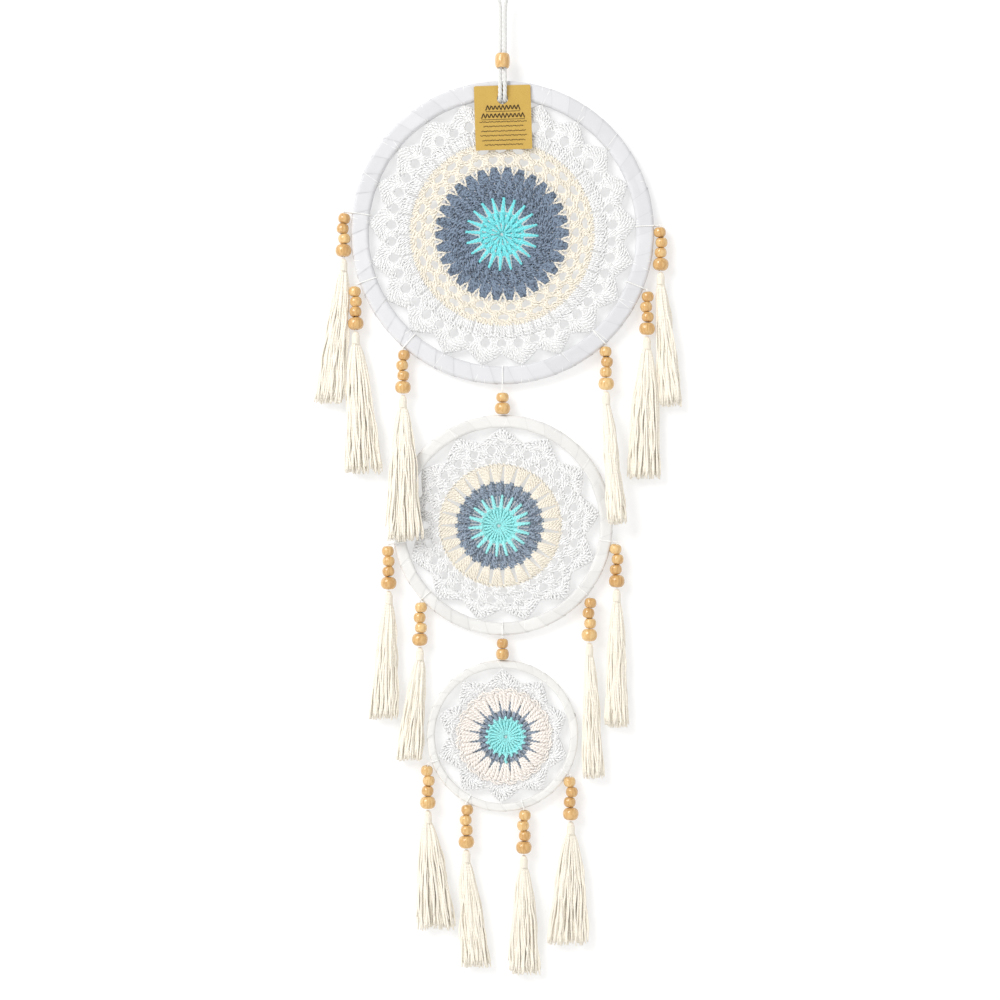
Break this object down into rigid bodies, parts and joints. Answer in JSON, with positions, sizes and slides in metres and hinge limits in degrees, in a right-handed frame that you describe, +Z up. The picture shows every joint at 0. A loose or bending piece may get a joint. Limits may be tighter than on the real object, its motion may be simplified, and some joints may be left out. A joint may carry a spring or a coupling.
{
  "type": "dream catcher",
  "caption": "Wall-hung dream catcher: fabric-wound hoops one below the other, crocheted webs, and wooden bead strings that end in cotton tassels.",
  "frame": {"origin": "the point of the hanging loop that rests on the nail, at its top", "axes": "+Z up, front towards -Y, +X to the right seen from the front; the wall lies 10.8 mm behind the origin"},
  "size_m": [0.2685, 0.0185, 0.7278],
  "materials": {
    "twisted_cotton": "matte",
    "ribbon": "matte",
    "cane": "matte",
    "crochet": "matte",
    "bead_wood": "satin",
    "tassel_cotton": "matte",
    "kraft_card": "matte"
  },
  "bodies": {
    "large_ring": {"hanging_loop": "twisted_cotton", "large_hoop": "cane", "large_wrap": "ribbon", "large_web": "crochet"},
    "top_bead": {"top_bead": "bead_wood"},
    "tag": {"tag": "kraft_card"},
    "middle_ring": {"upper_link_thread": "twisted_cotton", "upper_link_small_bead": "bead_wood", "upper_link_large_bead": "bead_wood", "middle_hoop": "cane", "middle_wrap": "ribbon", "middle_web": "crochet"},
    "small_ring": {"lower_link_thread": "twisted_cotton", "lower_link_small_bead": "bead_wood", "lower_link_large_bead": "bead_wood", "small_hoop": "cane", "small_wrap": "ribbon", "small_web": "crochet"},
    "large_left_upper": {"large_left_upper_bead_string": "bead_wood", "large_left_upper_large_bead": "bead_wood", "large_left_upper_tassel": "tassel_cotton"},
    "large_left_middle": {"large_left_middle_bead_string": "bead_wood", "large_left_middle_large_bead": "bead_wood", "large_left_middle_tassel": "tassel_cotton"},
    "large_left_lower": {"large_left_lower_bead_string": "bead_wood", "large_left_lower_large_bead": "bead_wood"},
    "large_left_lower_tassel": {"large_left_lower_tassel": "tassel_cotton"},
    "large_right_upper": {"large_right_upper_bead_string": "bead_wood", "large_right_upper_large_bead": "bead_wood", "large_right_upper_tassel": "tassel_cotton"},
    "large_right_middle": {"large_right_middle_bead_string": "bead_wood", "large_right_middle_large_bead": "bead_wood", "large_right_middle_tassel": "tassel_cotton"},
    "large_right_lower": {"large_right_lower_bead_string": "bead_wood", "large_right_lower_large_bead": "bead_wood"},
    "large_right_lower_tassel": {"large_right_lower_tassel": "tassel_cotton"},
    "middle_left_upper": {"middle_left_upper_bead_string": "bead_wood", "middle_left_upper_large_bead": "bead_wood", "middle_left_upper_tassel": "tassel_cotton"},
    "middle_left_lower": {"middle_left_lower_bead_string": "bead_wood", "middle_left_lower_large_bead": "bead_wood", "middle_left_lower_tassel": "tassel_cotton"},
    "middle_right_lower": {"middle_right_lower_bead_string": "bead_wood", "middle_right_lower_large_bead": "bead_wood", "middle_right_lower_tassel": "tassel_cotton"},
    "middle_right_upper": {"middle_right_upper_bead_string": "bead_wood", "middle_right_upper_large_bead": "bead_wood", "middle_right_upper_tassel": "tassel_cotton"},
    "small_left_outer": {"small_left_outer_bead_string": "bead_wood", "small_left_outer_large_bead": "bead_wood", "small_left_outer_tassel": "tassel_cotton"},
    "small_left_inner": {"small_left_inner_bead_string": "bead_wood", "small_left_inner_large_bead": "bead_wood", "small_left_inner_tassel": "tassel_cotton"},
    "small_right_inner": {"small_right_inner_bead_string": "bead_wood", "small_right_inner_large_bead": "bead_wood", "small_right_inner_tassel": "tassel_cotton"},
    "small_right_outer": {"small_right_outer_bead_string": "bead_wood", "small_right_outer_large_bead": "bead_wood", "small_right_outer_tassel": "tassel_cotton"}
  },
  "joints": [
    {"name": "top_bead_slide", "type": "slide", "parent": "large_ring", "child": "top_bead", "axis": [0, 0, 1], "range_m": [-0.007, 0.03]},
    {"name": "tag_swing", "type": "hinge", "parent": "large_ring", "child": "tag", "pos_m": [0, 0.0025, -0.0901], "axis": [0, 1, 0], "range_deg": [-25, 25]},
    {"name": "upper_link_swing", "type": "hinge", "parent": "large_ring", "child": "middle_ring", "pos_m": [0, 0.0048, -0.2978], "axis": [-1, 0, 0], "range_deg": [0, 30]},
    {"name": "lower_link_swing", "type": "hinge", "parent": "middle_ring", "child": "small_ring", "pos_m": [0, 0.0048, -0.47985], "axis": [-1, 0, 0], "range_deg": [0, 30]},
    {"name": "large_left_upper_swing", "type": "hinge", "parent": "large_ring", "child": "large_left_upper", "pos_m": [-0.11531, 0.0048, -0.17175], "axis": [-1, 0, 0], "range_deg": [0, 60]},
    {"name": "large_left_middle_swing", "type": "hinge", "parent": "large_ring", "child": "large_left_middle", "pos_m": [-0.10635, 0.0048, -0.22472], "axis": [-1, 0, 0], "range_deg": [0, 60]},
    {"name": "large_left_lower_swing", "type": "hinge", "parent": "large_ring", "child": "large_left_lower", "pos_m": [-0.07218, 0.0048, -0.27089], "axis": [-1, 0, 0], "range_deg": [0, 30]},
    {"name": "large_left_lower_tassel_swing", "type": "hinge", "parent": "large_left_lower", "child": "large_left_lower_tassel", "pos_m": [-0.07218, 0.0048, -0.30389], "axis": [-1, 0, 0], "range_deg": [0, 45]},
    {"name": "large_right_upper_swing", "type": "hinge", "parent": "large_ring", "child": "large_right_upper", "pos_m": [0.1147, 0.0048, -0.18175], "axis": [-1, 0, 0], "range_deg": [0, 60]},
    {"name": "large_right_middle_swing", "type": "hinge", "parent": "large_ring", "child": "large_right_middle", "pos_m": [0.10478, 0.0048, -0.2284], "axis": [-1, 0, 0], "range_deg": [0, 60]},
    {"name": "large_right_lower_swing", "type": "hinge", "parent": "large_ring", "child": "large_right_lower", "pos_m": [0.07525, 0.0048, -0.26832], "axis": [-1, 0, 0], "range_deg": [0, 30]},
    {"name": "large_right_lower_tassel_swing", "type": "hinge", "parent": "large_right_lower", "child": "large_right_lower_tassel", "pos_m": [0.07525, 0.0048, -0.30131], "axis": [-1, 0, 0], "range_deg": [0, 45]},
    {"name": "middle_left_upper_swing", "type": "hinge", "parent": "middle_ring", "child": "middle_left_upper", "pos_m": [-0.08253, 0.0048, -0.41285], "axis": [-1, 0, 0], "range_deg": [0, 60]},
    {"name": "middle_left_lower_swing", "type": "hinge", "parent": "middle_ring", "child": "middle_left_lower", "pos_m": [-0.05989, 0.0048, -0.45369], "axis": [-1, 0, 0], "range_deg": [0, 60]},
    {"name": "middle_right_lower_swing", "type": "hinge", "parent": "middle_ring", "child": "middle_right_lower", "pos_m": [0.06294, 0.0048, -0.45048], "axis": [-1, 0, 0], "range_deg": [0, 60]},
    {"name": "middle_right_upper_swing", "type": "hinge", "parent": "middle_ring", "child": "middle_right_upper", "pos_m": [0.08285, 0.0048, -0.41141], "axis": [-1, 0, 0], "range_deg": [0, 60]},
    {"name": "small_left_outer_swing", "type": "hinge", "parent": "small_ring", "child": "small_left_outer", "pos_m": [-0.05411, 0.0048, -0.57198], "axis": [-1, 0, 0], "range_deg": [0, 60]},
    {"name": "small_left_inner_swing", "type": "hinge", "parent": "small_ring", "child": "small_left_inner", "pos_m": [-0.02617, 0.0048, -0.60041], "axis": [-1, 0, 0], "range_deg": [0, 60]},
    {"name": "small_right_inner_swing", "type": "hinge", "parent": "small_ring", "child": "small_right_inner", "pos_m": [0.01545, 0.0048, -0.60442], "axis": [-1, 0, 0], "range_deg": [0, 60]},
    {"name": "small_right_outer_swing", "type": "hinge", "parent": "small_ring", "child": "small_right_outer", "pos_m": [0.04949, 0.0048, -0.58013], "axis": [-1, 0, 0], "range_deg": [0, 60]}
  ],
  "couplings": [
    {"joint": "large_left_lower_swing", "follows": "upper_link_swing", "ratio": 0.95},
    {"joint": "large_right_lower_swing", "follows": "upper_link_swing", "ratio": 0.95}
  ]
}
